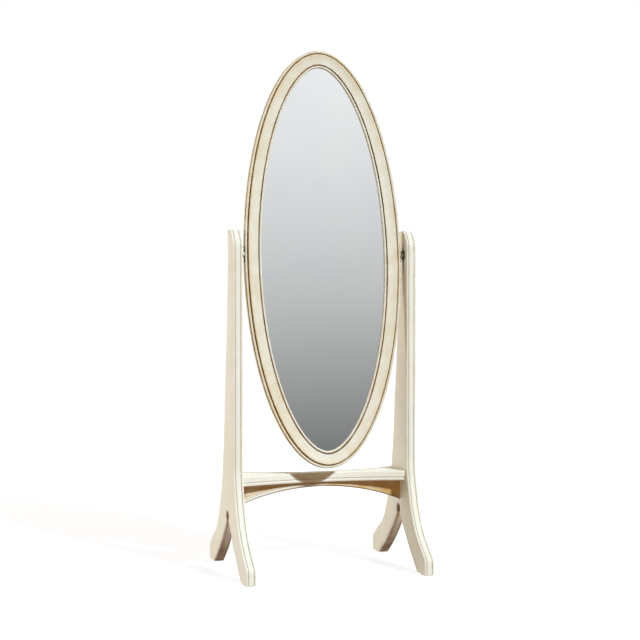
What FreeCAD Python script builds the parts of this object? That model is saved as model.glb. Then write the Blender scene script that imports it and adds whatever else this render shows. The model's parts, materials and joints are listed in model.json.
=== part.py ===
import FreeCAD, Part

import math
import os
import re

from FreeCAD import Placement, Rotation, Vector

# Cheval floor mirror: an oval mirror in a moulded frame, hung on two pivots between two
# posts that end in splayed feet, tied by a waisted shelf with an arched apron under it.
# Millimetres.  +Z is up, the glass looks towards -Y, and the origin is on the floor,
# under the middle of the object.

# ------------------------------------------------------------------ driving dimensions
# alias, value, meaning.  Everything that fits something else is worked out from these.
DRIVING = (
    # overall
    ("width_over_posts", 600, "outer face to outer face of the two posts"),
    ("frame_height", 1318, "oval frame, top to bottom"),
    ("rest_tilt", 4.9, "degrees that the top of the mirror leans back"),
    ("mirror_clearance", 18.5, "shelf top to the lowest point of the upright frame"),
    ("pivot_rise", 11, "pivot axis above the centre of the oval"),
    # posts and feet, measured from the plane of the post's front face
    ("post_thickness", 32, "board that each post is cut from"),
    ("post_above_pivot", 76.5, "pivot axis to the top of the post"),
    ("depth_at_pivot", 66, "front to back of the post beside the pivot"),
    ("depth_at_waist", 96, "the same, half-way between shelf and pivot"),
    ("depth_at_shelf", 141, "the same, at the top of the shelf"),
    ("front_reach", 165, "front face of the post to the front toe"),
    ("rear_reach", 333, "front face of the post to the rear toe"),
    ("toe_height", 34, "upright end of each toe"),
    ("sole_length", 71, "flat of each foot on its glide"),
    ("flare_height", 340, "where the front edge starts to curve out to the toe"),
    ("scroll_height", 52, "top of the post that leans back"),
    ("scroll_setback", 34, "how far it leans back"),
    ("scroll_flare", 10, "how far the back edge follows it"),
    ("crotch_setback", 77, "keyhole between the legs, behind the front face"),
    ("crotch_height", 177, "keyhole centre above the floor"),
    ("crotch_radius", 15, "radius of the keyhole"),
    ("neck_half", 9, "half the gap where the keyhole opens into the arch"),
    ("front_belly", 4, "sag of the front leg's underside below its chord"),
    ("rear_belly", 10, "the same under the rear leg"),
    # shelf
    ("shelf_height", 308, "top of the shelf above the floor"),
    ("shelf_thickness", 32, "shelf board"),
    ("shelf_front", 6, "front corners of the shelf behind the post's front face"),
    ("shelf_depth", 133, "front to back of the shelf at its ends"),
    ("waist_front", 40, "how far the front edge curves in"),
    ("waist_rear", 63, "how far the rear edge curves in"),
    # apron
    ("apron_setback", 59, "apron face behind the post's front face"),
    ("apron_thickness", 16, "apron board"),
    ("apron_end_drop", 66, "height of the apron at the posts"),
    ("apron_mid_drop", 14.5, "height of the apron under the middle of the shelf"),
    # mirror frame section, measured inwards from the outer edge and from the pivot plane
    ("bead_width", 8.5, "outer bead, up to the first quirk"),
    ("cove_start", 26, "outer edge to the foot of the raised border"),
    ("sight_inset", 54, "outer edge to the sight edge"),
    ("frame_front", 14, "pivot plane to the highest line of the face"),
    ("frame_shoulder", 9, "pivot plane to the front of the outer bead"),
    ("cove_front", 9.5, "pivot plane to the lower part of the face"),
    ("lip_back", 2, "pivot plane to the back of the rabbet lip"),
    ("frame_back", 11, "pivot plane to the back of the frame"),
    ("rabbet_inset", 45, "outer edge to the wall of the rabbet"),
    # what lies in the rabbet
    ("glass_thickness", 4, "mirror glass"),
    ("felt_thickness", 1, "felt between the lip and the glass"),
    ("felt_width", 6, "width of that felt"),
    ("sheet_thickness", 2, "cushion sheet behind the glass"),
    ("glass_play", 2, "gap round the glass, sheet and board in the rabbet"),
    ("button_count", 8, "turn buttons round the back"),
    ("button_length", 32, "turn button"),
    ("button_width", 11, "turn button"),
    ("button_thickness", 1.5, "turn button"),
    ("button_overlap", 10, "how far a button reaches over the backing board"),
    # pivots
    ("pivot_gap", 12, "post face to frame edge, taken by the pivot hardware"),
    ("pin_radius", 5, "pivot pin"),
    ("pin_in_frame", 22, "length of pin in the frame, behind its plate"),
    ("pin_in_post", 18, "length of pin in the post"),
    ("running_gap", 0.05, "radial clearance of the pin in its socket"),
    ("end_gap", 0.3, "spacer to socket flange"),
    ("end_room", 1, "pin's end to the bottom of its socket"),
    ("flange_radius", 17, "flange of the pivot socket"),
    ("flange_thickness", 2.5, "flange of the pivot socket"),
    ("socket_screw_offset", 12.5, "socket screws in front of and behind the pin"),
    ("barrel_radius", 8, "barrel of the pivot socket"),
    ("barrel_length", 22, "barrel of the pivot socket"),
    ("spacer_radius", 7.5, "nylon spacer round the pin"),
    ("plate_width", 16, "pivot plate let into the frame edge"),
    ("plate_height", 52, "pivot plate"),
    ("plate_thickness", 2.5, "pivot plate"),
    ("plate_screw_offset", 18, "plate screws above and below the pin"),
    ("plate_seat", 0.4, "how far the plate lies below the frame edge"),
    # fastenings
    ("fit_gap", 0.1, "gap round a fastening in its hole"),
    ("overrun", 1, "how far a cutting shape runs past the face it opens"),
    ("screw_radius", 1.5, "small wood screw"),
    ("screw_head", 2.8, "radius of its head"),
    ("screw_head_height", 1.6, "height of its head"),
    ("socket_screw_length", 14, "screws of the pivot socket"),
    ("plate_screw_length", 16, "screws of the pivot plate"),
    ("button_screw_length", 9, "screws of the turn buttons"),
    ("dowel_radius", 4, "beech dowel"),
    ("dowel_in_post", 12, "dowel in the post"),
    ("dowel_in_rail", 18, "dowel in the shelf or apron"),
    ("cam_bolt_radius", 3, "cam bolt"),
    ("cam_bolt_in_post", 11, "cam bolt in the post"),
    ("cam_setback", 34, "centre of the cam nut from the end of the shelf"),
    ("cam_radius", 7.5, "cam nut"),
    ("cam_height", 22.5, "cam nut, up from the underside of the shelf"),
    ("shelf_pin_inset", 20, "outermost fastening from the shelf's corner"),
    ("shelf_pin_pitch", 26, "from there to the next fastening"),
    ("apron_pin_drop", 18, "upper apron dowel below the shelf"),
    ("apron_pin_pitch", 30, "upper apron dowel to the lower one"),
    ("apron_screw_pitch", 130, "spacing of the screws up through the apron"),
    ("apron_screw_radius", 2, "apron screw"),
    ("apron_screw_head", 4, "radius of its head"),
    ("apron_screw_length", 30, "apron screw"),
    ("apron_screw_bite", 18, "apron screw in the shelf"),
    # glides
    ("glide_radius", 13, "nylon glide under each foot"),
    ("glide_thickness", 2.5, "nylon glide"),
)

# Sizes that follow from the others, as formulas in the same sheet.
DERIVED = (
    ("inner_face", "width_over_posts / 2 - post_thickness"),
    ("edge_x", "inner_face - pivot_gap"),
    ("half_height", "frame_height / 2"),
    ("post_front", "(front_reach - rear_reach) / 2"),
    ("pivot_setback", "depth_at_pivot / 2"),
    ("pivot_y", "post_front + pivot_setback"),
    ("pivot_z", "shelf_height + mirror_clearance + half_height + pivot_rise"),
    ("post_top", "pivot_z + post_above_pivot"),
    ("shelf_under", "shelf_height - shelf_thickness"),
    ("shelf_middle", "shelf_height - shelf_thickness / 2"),
    ("shelf_rear", "shelf_front + shelf_depth"),
    ("first_pin_y", "shelf_front + shelf_pin_inset"),
    ("second_pin_y", "first_pin_y + shelf_pin_pitch"),
    ("fourth_pin_y", "shelf_rear - shelf_pin_inset"),
    ("third_pin_y", "fourth_pin_y - shelf_pin_pitch"),
    ("apron_middle_y", "apron_setback + apron_thickness / 2"),
    ("apron_top_pin_z", "shelf_under - apron_pin_drop"),
    ("apron_low_pin_z", "apron_top_pin_z - apron_pin_pitch"),
    ("seat_x", "edge_x - plate_seat"),
    ("plate_back_x", "seat_x - plate_thickness"),
    ("flange_x", "inner_face - flange_thickness"),
    ("spacer_length", "flange_x - end_gap - seat_x"),
    ("pin_length", "pin_in_frame + plate_thickness + plate_seat + pivot_gap + pin_in_post"),
    ("glass_front", "felt_thickness - lip_back"),
    ("sheet_front", "glass_front + glass_thickness"),
    ("board_front", "sheet_front + sheet_thickness"),
)

ALIASES = {row[0] for row in DRIVING} | {row[0] for row in DERIVED}

# Course of the S-shaped edge of a leg, from the toe (0, 0) to where the leg joins the
# post (1, 1), as shares of that span: across, then up.
FRONT_OGEE = ((0.09, 0.08), (0.27, 0.165), (0.46, 0.25), (0.635, 0.365), (0.83, 0.575), (0.955, 0.81))
REAR_OGEE = ((0.08, 0.085), (0.26, 0.185), (0.455, 0.26), (0.605, 0.35), (0.75, 0.54), (0.885, 0.775))

doc = FreeCAD.newDocument("cheval_mirror")
sizes = doc.addObject("Spreadsheet::Sheet", "sizes")
nodes = []


# ------------------------------------------------------------------------- the sheet
def fill_sheet():
    """Write the driving sizes as plain numbers and the derived ones as formulas."""
    row = 1
    for alias, number, meaning in DRIVING:
        sizes.set(f"A{row}", alias)
        sizes.set(f"B{row}", str(number))
        sizes.set(f"C{row}", meaning)
        sizes.setAlias(f"B{row}", alias)
        row += 1
    doc.recompute()
    for alias, formula in DERIVED:
        sizes.set(f"A{row}", alias)
        sizes.set(f"B{row}", "=" + formula)
        sizes.setAlias(f"B{row}", alias)
        row += 1
        doc.recompute()


def size(alias):
    return float(sizes.get(alias))


def bind(thing, prop, formula):
    """Tie a property to the sheet; bare aliases in the formula are looked up there."""
    def name(match):
        word = match.group(0)
        return "sizes." + word if word in ALIASES else word
    thing.setExpression(prop, re.sub(r"[a-z_][a-z0-9_]*", name, formula))


# -------------------------------------------------------------------------- primitives
TURN = {
    "X": Rotation(Vector(0, 1, 0), 90),
    "Y": Rotation(Vector(1, 0, 0), -90),
    "Z": Rotation(),
}


def put(thing, spot):
    for axis, formula in zip("xyz", spot):
        bind(thing, "Placement.Base." + axis, str(formula))
    return thing


def cylinder(name, axis, spot, length, radius):
    """A round bar that starts at spot and runs along +axis."""
    bar = doc.addObject("Part::Cylinder", name)
    bar.Placement = Placement(Vector(), TURN[axis])
    bind(bar, "Radius", radius)
    bind(bar, "Height", length)
    return put(bar, spot)


def block(name, spot, lengths):
    """A box whose lowest corner is at spot."""
    box = doc.addObject("Part::Box", name)
    for prop, formula in zip(("Length", "Width", "Height"), lengths):
        bind(box, prop, str(formula))
    return put(box, spot)


def oval(name, inset, front, back):
    """An upright elliptical slab, inset from the frame's edge, between two depths."""
    edge = doc.addObject("Part::Ellipse", name + "_edge")
    # The ellipse's long axis turns to +Z and its normal to +Y.
    edge.Placement = Placement(Vector(), Rotation(Vector(1, 1, 1), 240))
    bind(edge, "MajorRadius", f"half_height - ({inset})")
    bind(edge, "MinorRadius", f"edge_x - ({inset})")
    put(edge, ("0", front, "-pivot_rise"))
    slab = doc.addObject("Part::Extrusion", name)
    slab.Base = edge
    slab.DirMode = "Custom"
    slab.Dir = Vector(0, 1, 0)
    slab.Solid = True
    bind(slab, "LengthFwd", f"({back}) - ({front})")
    return slab


def fuse(name, things):
    union = doc.addObject("Part::MultiFuse", name)
    union.Shapes = things
    return union


def cut(name, base, tools):
    """base less every tool."""
    result = doc.addObject("Part::Cut", name)
    result.Base = base
    result.Tool = tools[0] if len(tools) == 1 else fuse(name + "_tools", tools)
    return result


def group(name, things):
    """Equal fastenings that stay separate solids in one sub-part."""
    bunch = doc.addObject("Part::Compound", name)
    bunch.Links = things
    return bunch


def from_side(side, near, length):
    """Lowest X of something that starts at |X| = near and runs outwards."""
    return f"{near}" if side > 0 else f"-({near}) - ({length})"


def pin_hole_pair(name, side, near, length, radius, spots):
    """Bars along X at each (y, z) spot, on one side."""
    start = from_side(side, near, length)
    return [
        cylinder(f"{name}_{index}", "X", (start, y, z), length, radius)
        for index, (y, z) in enumerate(spots)
    ]


def bores_for(name, side, near, length, radius, spots):
    """Holes for bars that start at |X| = near and run outwards, with the gap they fit with."""
    return pin_hole_pair(name, side, near, f"{length} + fit_gap", f"{radius} + fit_gap", spots)


def bores_inwards(name, side, mouth, length, radius, spots):
    """The same for bars that run from a mouth at |X| = mouth towards the middle."""
    near = f"{mouth} - ({length} + fit_gap)"
    return bores_for(name, side, near, length, radius, spots)


# --------------------------------------------------------------- where sub-parts stand
def finish(thing, label):
    thing.Label = label
    nodes.append(thing)
    return thing


def on_stand(thing, label):
    """Modelled with Y from the posts' front face."""
    put(thing, ("0", "post_front", "0"))
    return finish(thing, label)


def at_pivot(thing, label):
    """Modelled round the pivot axis, on the stand."""
    put(thing, ("0", "pivot_y", "pivot_z"))
    return finish(thing, label)


def on_mirror(thing, label):
    """Modelled upright round the pivot axis, then leant back by the rest tilt."""
    thing.Placement = Placement(Vector(), Rotation(Vector(-1, 0, 0), size("rest_tilt")))
    bind(thing, "Placement.Rotation.Angle", "rest_tilt")
    put(thing, ("0", "pivot_y", "pivot_z"))
    return finish(thing, label)


# ------------------------------------------------------------------------ sketch work
def outline_body(name, role, curves, thickness, start):
    """A body padded from one closed outline on an origin plane, along +normal."""
    body = doc.addObject("PartDesign::Body", name)
    sketch = body.newObject("Sketcher::SketchObject", name + "_outline")
    plane = [item for item in body.Origin.OriginFeatures if item.Role == role][0]
    sketch.AttachmentSupport = [(plane, "")]
    sketch.MapMode = "FlatFace"
    for curve in curves:
        sketch.addGeometry(curve, False)
    bind(sketch, "AttachmentOffset.Base.z", start)
    pad = body.newObject("PartDesign::Pad", name + "_pad")
    pad.Profile = sketch
    bind(pad, "Length", thickness)
    doc.recompute()
    return body


def flat(first, second):
    return Vector(first, second, 0)


def line(start, end):
    return Part.LineSegment(start, end)


def arc(start, middle, end):
    return Part.Arc(start, middle, end)


def sweep(start, corner, end):
    """A quarter-like curve that leaves towards corner and arrives from it."""
    curve = Part.BezierCurve()
    curve.setPoles([start, corner, end])
    return curve.toBSpline()


def spline(poles):
    """A smooth curve that its poles pull along, tangent to the first and last leg."""
    curve = Part.BSplineCurve()
    curve.buildFromPoles(poles, False, 3)
    return curve


def along(toe, root, shares):
    """Points between toe and root at the given shares of the span."""
    span = root - toe
    return [flat(toe.x + span.x * across, toe.y + span.y * up) for across, up in shares]


def off_chord(start, end, sag):
    """Middle of the chord, moved sag to the right of its direction."""
    way = (end - start).normalize()
    return (start + end) * 0.5 + flat(way.y, -way.x) * sag


# ------------------------------------------------------------------------------ posts
def post_curves():
    """Side view of a post: first axis is depth from the front face, second is height."""
    ground = size("glide_thickness")
    toe_top = ground + size("toe_height")
    top = size("post_top")
    scroll = size("scroll_height")
    deep_top = size("depth_at_pivot")
    front_toe = flat(-size("front_reach"), toe_top)
    rear_toe = flat(size("rear_reach"), toe_top)
    front_root = flat(0, size("flare_height"))
    shelf_back = flat(size("depth_at_shelf"), size("shelf_height"))
    waist_z = (size("pivot_z") + size("shelf_height")) / 2
    waist_back = flat(size("depth_at_waist"), waist_z)
    pivot_back = flat(deep_top, size("pivot_z"))
    scroll_start = flat(0, top - scroll)
    scroll_end = flat(size("scroll_setback"), top)
    rear_end = flat(deep_top + size("scroll_flare"), top)
    rear_start = flat(deep_top, top - scroll)
    front_heel = flat(size("sole_length") - size("front_reach"), ground)
    rear_heel = flat(size("rear_reach") - size("sole_length"), ground)
    hole = flat(size("crotch_setback"), size("crotch_height"))
    half = size("neck_half")
    neck_drop = math.sqrt(size("crotch_radius") ** 2 - half ** 2)
    front_neck = hole + flat(-half, -neck_drop)
    rear_neck = hole + flat(half, -neck_drop)
    crown = hole + flat(0, size("crotch_radius"))
    easing = size("toe_height") / 2
    front_edge = [front_toe, front_toe + flat(0, easing)]
    front_edge += along(front_toe, front_root, FRONT_OGEE)
    front_edge += [front_root - flat(0, easing), front_root]
    rear_edge = [rear_toe, rear_toe + flat(0, easing)]
    rear_edge += along(rear_toe, shelf_back, REAR_OGEE)
    rear_edge += [shelf_back, waist_back, pivot_back - flat(0, size("post_above_pivot")), pivot_back]
    front_sole = flat(front_toe.x, ground)
    rear_sole = flat(rear_toe.x, ground)
    return [
        line(front_sole, front_toe),
        spline(front_edge),
        line(front_root, scroll_start),
        sweep(scroll_start, flat(0, top - scroll / 2), scroll_end),
        line(scroll_end, rear_end),
        sweep(rear_end, flat(deep_top, top - scroll / 2), rear_start),
        line(rear_start, pivot_back),
        spline(rear_edge),
        line(rear_toe, rear_sole),
        line(rear_sole, rear_heel),
        arc(rear_heel, off_chord(rear_heel, rear_neck, -size("rear_belly")), rear_neck),
        arc(rear_neck, crown, front_neck),
        arc(front_neck, off_chord(front_neck, front_heel, -size("front_belly")), front_heel),
        line(front_heel, front_sole),
    ]


# Depth and height of each fastening in the end of the shelf and of the apron.
SHELF_CAM_SPOTS = (("first_pin_y", "shelf_middle"), ("fourth_pin_y", "shelf_middle"))
SHELF_DOWEL_SPOTS = (("second_pin_y", "shelf_middle"), ("third_pin_y", "shelf_middle"))
APRON_DOWEL_SPOTS = (("apron_middle_y", "apron_top_pin_z"), ("apron_middle_y", "apron_low_pin_z"))
# Socket screws stand fore and aft of the pivot, plate screws above and below it.
SOCKET_SCREW_SPOTS = (("socket_screw_offset", "0"), ("-socket_screw_offset", "0"))
PLATE_SCREW_SPOTS = (("0", "plate_screw_offset"), ("0", "-plate_screw_offset"))
APRON_SCREW_XS = ("-apron_screw_pitch", "0", "apron_screw_pitch")
BOTH_SIDES = ((-1, "left"), (1, "right"))


def moved(spots, down_y, down_z):
    return [(f"{y} + {down_y}", f"{z} + {down_z}") for y, z in spots]


def make_post(side, word):
    """One board, bored from its inner face."""
    start = "inner_face" if side > 0 else "-inner_face - post_thickness"
    blank = outline_body(word + "_post_blank", "YZ_Plane", post_curves(), "post_thickness", start)
    pivot = [("pivot_setback", "pivot_z")]
    screws = moved(SOCKET_SCREW_SPOTS, "pivot_setback", "pivot_z")
    bores = (
        ("socket", "barrel_length", "barrel_radius", pivot),
        ("screw", "socket_screw_length - flange_thickness", "screw_radius", screws),
        ("cam", "cam_bolt_in_post", "cam_bolt_radius", SHELF_CAM_SPOTS),
        ("dowel", "dowel_in_post", "dowel_radius", SHELF_DOWEL_SPOTS),
        ("apron", "dowel_in_post", "dowel_radius", APRON_DOWEL_SPOTS),
    )
    tools = []
    for kind, length, radius, spots in bores:
        tools += bores_for(f"{word}_{kind}_bore", side, "inner_face", length, radius, spots)
    on_stand(cut(word + "_post_bored", blank, tools), word + "_post")


def make_glides(side, word):
    """A nylon disc in the middle of each sole."""
    middle_x = f"{side} * (inner_face + post_thickness / 2)"
    places = (
        ("front", "sole_length / 2 - front_reach"),
        ("rear", "rear_reach - sole_length / 2"),
    )
    for end, middle_y in places:
        name = f"{end}_{word}_glide"
        spot = (middle_x, f"post_front + {middle_y}", "0")
        finish(cylinder(name, "Z", spot, "glide_thickness", "glide_radius"), name)


# --------------------------------------------------------------------- shelf and apron
def make_shelf():
    """A board waisted in plan, bored in its ends for dowels and cam bolts."""
    end = size("inner_face")
    front = size("shelf_front")
    rear = size("shelf_rear")
    left_front = flat(-end, front)
    right_front = flat(end, front)
    left_rear = flat(-end, rear)
    right_rear = flat(end, rear)
    curves = [
        arc(left_front, flat(0, front + size("waist_front")), right_front),
        line(right_front, right_rear),
        arc(right_rear, flat(0, rear - size("waist_rear")), left_rear),
        line(left_rear, left_front),
    ]
    blank = outline_body("shelf_blank", "XY_Plane", curves, "shelf_thickness", "shelf_under")
    tools = []
    for side, word in BOTH_SIDES:
        tools += bores_inwards(f"shelf_{word}_dowel", side, "inner_face", "dowel_in_rail",
                               "dowel_radius", SHELF_DOWEL_SPOTS)
        tools += bores_inwards(f"shelf_{word}_cam", side, "inner_face", "cam_setback",
                               "cam_bolt_radius", SHELF_CAM_SPOTS)
        for index, (y, _) in enumerate(SHELF_CAM_SPOTS):
            spot = (f"{side} * (inner_face - cam_setback)", y, "shelf_under")
            tools.append(cylinder(f"shelf_{word}_nut_{index}", "Z", spot,
                                  "cam_height + fit_gap", "cam_radius + fit_gap"))
    for index, x in enumerate(APRON_SCREW_XS):
        spot = (x, "apron_middle_y", "shelf_under")
        tools.append(cylinder(f"shelf_screw_{index}", "Z", spot,
                              "apron_screw_bite + fit_gap", "apron_screw_radius + fit_gap"))
    on_stand(cut("shelf_bored", blank, tools), "stretcher_shelf")


def make_apron():
    """A thin board under the shelf whose lower edge is an arch."""
    end = size("inner_face")
    top = size("shelf_under")
    foot = top - size("apron_end_drop")
    crown = top - size("apron_mid_drop")
    curves = [
        arc(flat(-end, foot), flat(0, crown), flat(end, foot)),
        line(flat(end, foot), flat(end, top)),
        line(flat(end, top), flat(-end, top)),
        line(flat(-end, top), flat(-end, foot)),
    ]
    # The XZ plane's normal is -Y, so the pad starts at the back face.
    back = "-apron_setback - apron_thickness"
    blank = outline_body("apron_blank", "XZ_Plane", curves, "apron_thickness", back)
    tools = []
    for side, word in BOTH_SIDES:
        tools += bores_inwards(f"apron_{word}_dowel", side, "inner_face", "dowel_in_rail",
                               "dowel_radius", APRON_DOWEL_SPOTS)
    seat = "apron_end_drop + apron_screw_bite - apron_screw_length"
    for index, x in enumerate(APRON_SCREW_XS):
        spot = (x, "apron_middle_y", "shelf_under - apron_end_drop")
        tools.append(cylinder(f"apron_screw_bore_{index}", "Z", spot,
                              "apron_end_drop", "apron_screw_radius + fit_gap"))
        tools.append(cylinder(f"apron_screw_seat_{index}", "Z", spot,
                              seat, "apron_screw_head + fit_gap"))
    on_stand(cut("apron_bored", blank, tools), "arched_apron")


# ------------------------------------------------------------------ stand's fastenings
def make_rail_fastenings(side, word):
    """Dowels, cam bolts and cam nuts of one end of the shelf and apron."""
    length = "dowel_in_post + dowel_in_rail"
    near = "inner_face - dowel_in_rail"
    for rail, spots in (("shelf", SHELF_DOWEL_SPOTS), ("apron", APRON_DOWEL_SPOTS)):
        pegs = pin_hole_pair(f"{word}_{rail}_peg", side, near, length, "dowel_radius", spots)
        on_stand(group(f"{word}_{rail}_pegs", pegs), f"{word}_{rail}_dowels")
    reach = "cam_setback - cam_radius - fit_gap"
    near = f"inner_face - ({reach})"
    length = f"{reach} + cam_bolt_in_post"
    bolts = pin_hole_pair(f"{word}_cam_bolt", side, near, length, "cam_bolt_radius", SHELF_CAM_SPOTS)
    on_stand(group(f"{word}_cam_bolt_pair", bolts), f"{word}_cam_bolts")
    nuts = []
    for index, (y, _) in enumerate(SHELF_CAM_SPOTS):
        spot = (f"{side} * (inner_face - cam_setback)", y, "shelf_under")
        nuts.append(cylinder(f"{word}_cam_{index}", "Z", spot, "cam_height", "cam_radius"))
    on_stand(group(f"{word}_cam_pair", nuts), f"{word}_cam_nuts")


def make_apron_screws():
    """Screws up through the apron into the shelf, heads in counterbores."""
    screws = []
    low = "shelf_under + apron_screw_bite - apron_screw_length"
    for index, x in enumerate(APRON_SCREW_XS):
        spot = (x, "apron_middle_y", low)
        shank = cylinder(f"apron_shank_{index}", "Z", spot, "apron_screw_length", "apron_screw_radius")
        spot = (x, "apron_middle_y", f"{low} - screw_head_height")
        head = cylinder(f"apron_head_{index}", "Z", spot, "screw_head_height", "apron_screw_head")
        screws.append(fuse(f"apron_screw_{index}", [shank, head]))
    on_stand(group("apron_screw_row", screws), "apron_screws")


def bar_outwards(name, side, near, length, radius):
    """A bar on the pivot axis that starts at |X| = near and runs outwards."""
    return cylinder(name, "X", (from_side(side, near, length), "0", "0"), length, radius)


def make_socket(side, word):
    """Flanged bush in the post, bored for the pivot pin, and its two screws."""
    flange = bar_outwards(f"{word}_flange", side, "flange_x", "flange_thickness", "flange_radius")
    barrel = bar_outwards(f"{word}_barrel", side, "inner_face", "barrel_length", "barrel_radius")
    body = fuse(f"{word}_bush", [flange, barrel])
    bore_length = "flange_thickness + pin_in_post + end_room"
    holes = [bar_outwards(f"{word}_bore", side, "flange_x", bore_length, "pin_radius + running_gap")]
    holes += pin_hole_pair(f"{word}_flange_hole", side, "flange_x", "flange_thickness",
                           "screw_radius + fit_gap", SOCKET_SCREW_SPOTS)
    at_pivot(cut(f"{word}_bush_bored", body, holes), f"{word}_pivot_socket")
    screws = side_screws(f"{word}_socket_screw", side, "flange_x", 1, "socket_screw_length",
                         SOCKET_SCREW_SPOTS)
    at_pivot(screws, f"{word}_socket_screws")


def side_screws(name, side, seat, way, length, spots):
    """Screws along X: shank outwards (way 1) or inwards (way -1) from seat."""
    near = seat if way > 0 else f"{seat} - ({length})"
    head_near = f"{seat} - screw_head_height" if way > 0 else seat
    shanks = pin_hole_pair(name + "_shank", side, near, length, "screw_radius", spots)
    heads = pin_hole_pair(name + "_head", side, head_near, "screw_head_height", "screw_head", spots)
    screws = [fuse(f"{name}_{index}", list(pair)) for index, pair in enumerate(zip(shanks, heads))]
    return group(name + "_set", screws)


# ---------------------------------------------------------------------- mirror's parts
def make_frame():
    """Moulded ring with a rabbet at the back, mortised for the pivot plates."""
    rim = oval("frame_rim", "0", "-frame_shoulder", "frame_back")
    border = oval("frame_border", "bead_width", "-frame_front", "-frame_shoulder")
    ring = fuse("frame_blank", [rim, border])
    tools = [
        oval("frame_cove", "cove_start", "-frame_front - overrun", "-cove_front"),
        oval("frame_sight", "sight_inset", "-frame_front - overrun", "frame_back + overrun"),
        oval("frame_rabbet", "rabbet_inset", "-lip_back", "frame_back + overrun"),
    ]
    mortise = "plate_seat + plate_thickness + overrun"
    for side, word in BOTH_SIDES:
        spot = (
            from_side(side, "plate_back_x", mortise),
            "-(plate_width / 2) - fit_gap",
            "-(plate_height / 2) - fit_gap",
        )
        lengths = (mortise, "plate_width + 2 * fit_gap", "plate_height + 2 * fit_gap")
        tools.append(block(f"frame_{word}_mortise", spot, lengths))
        tools += bores_inwards(f"frame_{word}_pin", side, "plate_back_x", "pin_in_frame",
                               "pin_radius", [("0", "0")])
        tools += bores_inwards(f"frame_{word}_pilot", side, "plate_back_x",
                               "plate_screw_length - plate_thickness", "screw_radius",
                               PLATE_SCREW_SPOTS)
    for index, (x, z, _) in enumerate(button_screw_places()):
        spot = (x, "frame_back + button_thickness - button_screw_length - fit_gap", z)
        tools.append(cylinder(f"frame_button_pilot_{index}", "Y", spot,
                              "button_screw_length", "screw_radius + fit_gap"))
    on_mirror(cut("frame_cut", ring, tools), "oval_frame")


def make_glazing():
    """Felt, glass, cushion sheet and backing board, from the front of the rabbet back."""
    inner = "rabbet_inset + glass_play"
    felt = oval("felt_outer", inner, "-lip_back", "glass_front")
    hole = oval("felt_hole", f"{inner} + felt_width", "-lip_back - overrun", "glass_front + overrun")
    on_mirror(cut("felt_cut", felt, [hole]), "glass_felt_ring")
    on_mirror(oval("glass_slab", inner, "glass_front", "sheet_front"), "mirror_glass")
    on_mirror(oval("sheet_slab", inner, "sheet_front", "board_front"), "cushion_sheet")
    on_mirror(oval("board_slab", inner, "board_front", "frame_back"), "backing_board")


def button_screw_places():
    """Places just outside the rabbet and the turn that points each button outwards."""
    across = size("edge_x") - size("rabbet_inset")
    tall = size("half_height") - size("rabbet_inset")
    count = int(size("button_count"))
    beyond = (size("button_length") - size("glass_play")) / 2 - size("button_overlap")
    places = []
    for step in range(count):
        angle = 2 * math.pi * (step + 0.5) / count
        edge = Vector(across * math.cos(angle), 0, tall * math.sin(angle))
        outward = Vector(math.cos(angle) / across, 0, math.sin(angle) / tall).normalize()
        spot = edge + outward * beyond
        turn = math.degrees(math.atan2(outward.x, outward.z))
        places.append((spot.x, spot.z - size("pivot_rise"), turn))
    return places


def make_buttons():
    """Metal turn buttons that hold the backing board, each with one screw."""
    buttons = []
    screws = []
    for index, (x, z, turn) in enumerate(button_screw_places()):
        corner = ("-button_width / 2", "0", "-button_length / 2")
        lengths = ("button_width", "button_thickness", "button_length")
        strip = block(f"button_strip_{index}", corner, lengths)
        bore = cylinder(f"button_bore_{index}", "Y", ("0", "0", "0"),
                        "button_thickness", "screw_radius + fit_gap")
        button = cut(f"button_{index}", strip, [bore])
        tip = ("0", "button_thickness - button_screw_length", "0")
        shank = cylinder(f"button_shank_{index}", "Y", tip, "button_screw_length", "screw_radius")
        seat = ("0", "button_thickness", "0")
        head = cylinder(f"button_head_{index}", "Y", seat, "screw_head_height", "screw_head")
        screw = fuse(f"button_screw_{index}", [shank, head])
        for thing, things in ((button, buttons), (screw, screws)):
            thing.Placement = Placement(Vector(x, 0, z), Rotation(Vector(0, 1, 0), turn))
            bind(thing, "Placement.Base.y", "frame_back")
            things.append(thing)
    on_mirror(group("button_set", buttons), "turn_buttons")
    on_mirror(group("button_screw_set", screws), "turn_button_screws")


def make_mirror_pivot(side, word):
    """Plate let into the frame edge, pin through it, nylon spacer and plate screws."""
    corner = (
        from_side(side, "plate_back_x", "plate_thickness"),
        "-plate_width / 2",
        "-plate_height / 2",
    )
    lengths = ("plate_thickness", "plate_width", "plate_height")
    plate = block(f"{word}_plate_blank", corner, lengths)
    holes = pin_hole_pair(f"{word}_plate_hole", side, "plate_back_x", "plate_thickness",
                          "pin_radius + fit_gap", [("0", "0")])
    holes += pin_hole_pair(f"{word}_plate_screw_hole", side, "plate_back_x", "plate_thickness",
                           "screw_radius + fit_gap", PLATE_SCREW_SPOTS)
    on_mirror(cut(f"{word}_plate_cut", plate, holes), f"{word}_pivot_plate")
    pin = bar_outwards(f"{word}_pin_bar", side, "plate_back_x - pin_in_frame", "pin_length", "pin_radius")
    on_mirror(group(f"{word}_pin_set", [pin]), f"{word}_pivot_pin")
    tube = bar_outwards(f"{word}_spacer_tube", side, "seat_x", "spacer_length", "spacer_radius")
    bore = bar_outwards(f"{word}_spacer_bore", side, "seat_x", "spacer_length", "pin_radius + fit_gap")
    on_mirror(cut(f"{word}_spacer_cut", tube, [bore]), f"{word}_pivot_spacer")
    screws = side_screws(f"{word}_plate_screw", side, "seat_x", -1, "plate_screw_length",
                         PLATE_SCREW_SPOTS)
    on_mirror(screws, f"{word}_plate_screws")


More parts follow.
